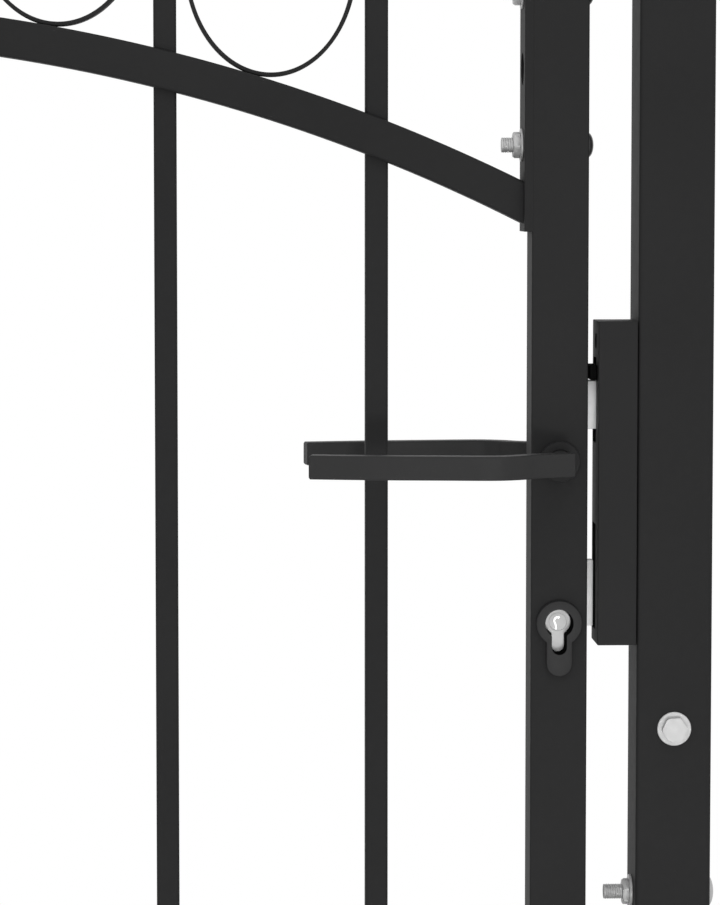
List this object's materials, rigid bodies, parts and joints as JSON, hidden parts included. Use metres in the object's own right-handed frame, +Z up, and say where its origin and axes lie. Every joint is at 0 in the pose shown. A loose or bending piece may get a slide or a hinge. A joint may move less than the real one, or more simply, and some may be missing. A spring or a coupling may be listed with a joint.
{
  "type": "garden gate",
  "caption": "Arched steel garden gate: barred leaf with oval rings, lever handles and cylinder lock, between two square posts.",
  "frame": {"origin": "midway between the two posts, in the middle of their depth, at the level of their feet", "axes": "+X from the hinge post to the latch post, +Y away from the street side, the way the leaf swings open, +Z up"},
  "size_m": [1.0306, 0.1294, 1.7817],
  "materials": {
    "powder_coat": "satin black powder coat with a fine orange-peel grain",
    "handle_coat": "smooth satin black coat",
    "zinc": "bright zinc plating",
    "zinc_plate": "zinc-plated sheet",
    "bolt_steel": "satin nickel-plated steel",
    "nickel": "satin nickel",
    "cap_plastic": "matt moulded black plastic",
    "keep_plastic": "matt moulded black plastic",
    "bumper_rubber": "matt black rubber"
  },
  "bodies": {
    "posts": {"latch_post_upper": "powder_coat", "latch_post_lower": "powder_coat", "hinge_post_upper": "powder_coat", "hinge_post_lower": "powder_coat", "hinge_bracket_lower": "powder_coat", "hinge_bracket_upper": "powder_coat", "latch_post_cap": "cap_plastic", "hinge_post_cap": "cap_plastic", "latch_post_front_bolt": "zinc", "latch_post_side_bolt": "zinc", "hinge_post_front_bolt": "zinc", "hinge_post_side_bolt": "zinc", "keep_body": "keep_plastic", "keep_bumper": "bumper_rubber"},
    "leaf": {"latch_stile": "powder_coat", "hinge_stile": "powder_coat", "lower_arch": "powder_coat", "upper_arch": "powder_coat", "bottom_rail": "powder_coat", "bar_1": "powder_coat", "bar_2": "powder_coat", "bar_3": "powder_coat", "bar_4": "powder_coat", "bar_5": "powder_coat", "bar_6": "powder_coat", "bar_7": "powder_coat", "ring_1": "powder_coat", "ring_2": "powder_coat", "ring_3": "powder_coat", "ring_4": "powder_coat", "ring_5": "powder_coat", "ring_6": "powder_coat", "arch_end_plate_latch": "powder_coat", "arch_end_plate_hinge": "powder_coat", "rail_end_plate_latch": "powder_coat", "rail_end_plate_hinge": "powder_coat", "hinge_knuckle_lower": "powder_coat", "hinge_knuckle_upper": "powder_coat", "latch_stile_cap": "cap_plastic", "hinge_stile_cap": "cap_plastic", "arch_bolt_latch_1": "zinc", "arch_bolt_latch_2": "zinc", "arch_bolt_hinge_1": "zinc", "arch_bolt_hinge_2": "zinc", "rail_bolt_latch_1": "zinc", "rail_bolt_latch_2": "zinc", "rail_bolt_hinge_1": "zinc", "rail_bolt_hinge_2": "zinc", "lock_case": "zinc_plate", "front_rose": "handle_coat", "rear_rose": "handle_coat", "lock_cylinder": "nickel", "front_escutcheon": "handle_coat", "rear_escutcheon": "handle_coat"},
    "handle": {"front_lever": "handle_coat", "rear_lever": "handle_coat", "spindle": "zinc_plate"},
    "latch": {"latch_bolt": "bolt_steel"},
    "deadbolt": {"dead_bolt": "bolt_steel"},
    "key_plug": {"cylinder_plug": "nickel"}
  },
  "joints": [
    {"name": "gate_swing", "type": "hinge", "parent": "posts", "child": "leaf", "pos_m": [-0.458, 0.011, 0.7], "axis": [0, 0, 1], "range_deg": [0, 100]},
    {"name": "lever_turn", "type": "hinge", "parent": "leaf", "child": "handle", "pos_m": [0.43, 0, 1.4], "axis": [0, -1, 0], "range_deg": [0, 40], "stiffness_Nm_per_rad": 1.2, "springref_deg": -28.65},
    {"name": "latch_slide", "type": "slide", "parent": "leaf", "child": "latch", "axis": [-1, 0, 0], "range_m": [0, 0.0122]},
    {"name": "key_turn", "type": "hinge", "parent": "leaf", "child": "key_plug", "pos_m": [0.43, 0, 1.314], "axis": [0, 1, 0], "range_deg": [0, 360]},
    {"name": "deadbolt_slide", "type": "slide", "parent": "leaf", "child": "deadbolt", "axis": [1, 0, 0], "range_m": [0, 0.0142]}
  ],
  "couplings": [
    {"joint": "latch_slide", "follows": "lever_turn", "m_per_rad": 0.01733},
    {"joint": "key_turn", "follows": "deadbolt_slide", "rad_per_m": 442}
  ]
}
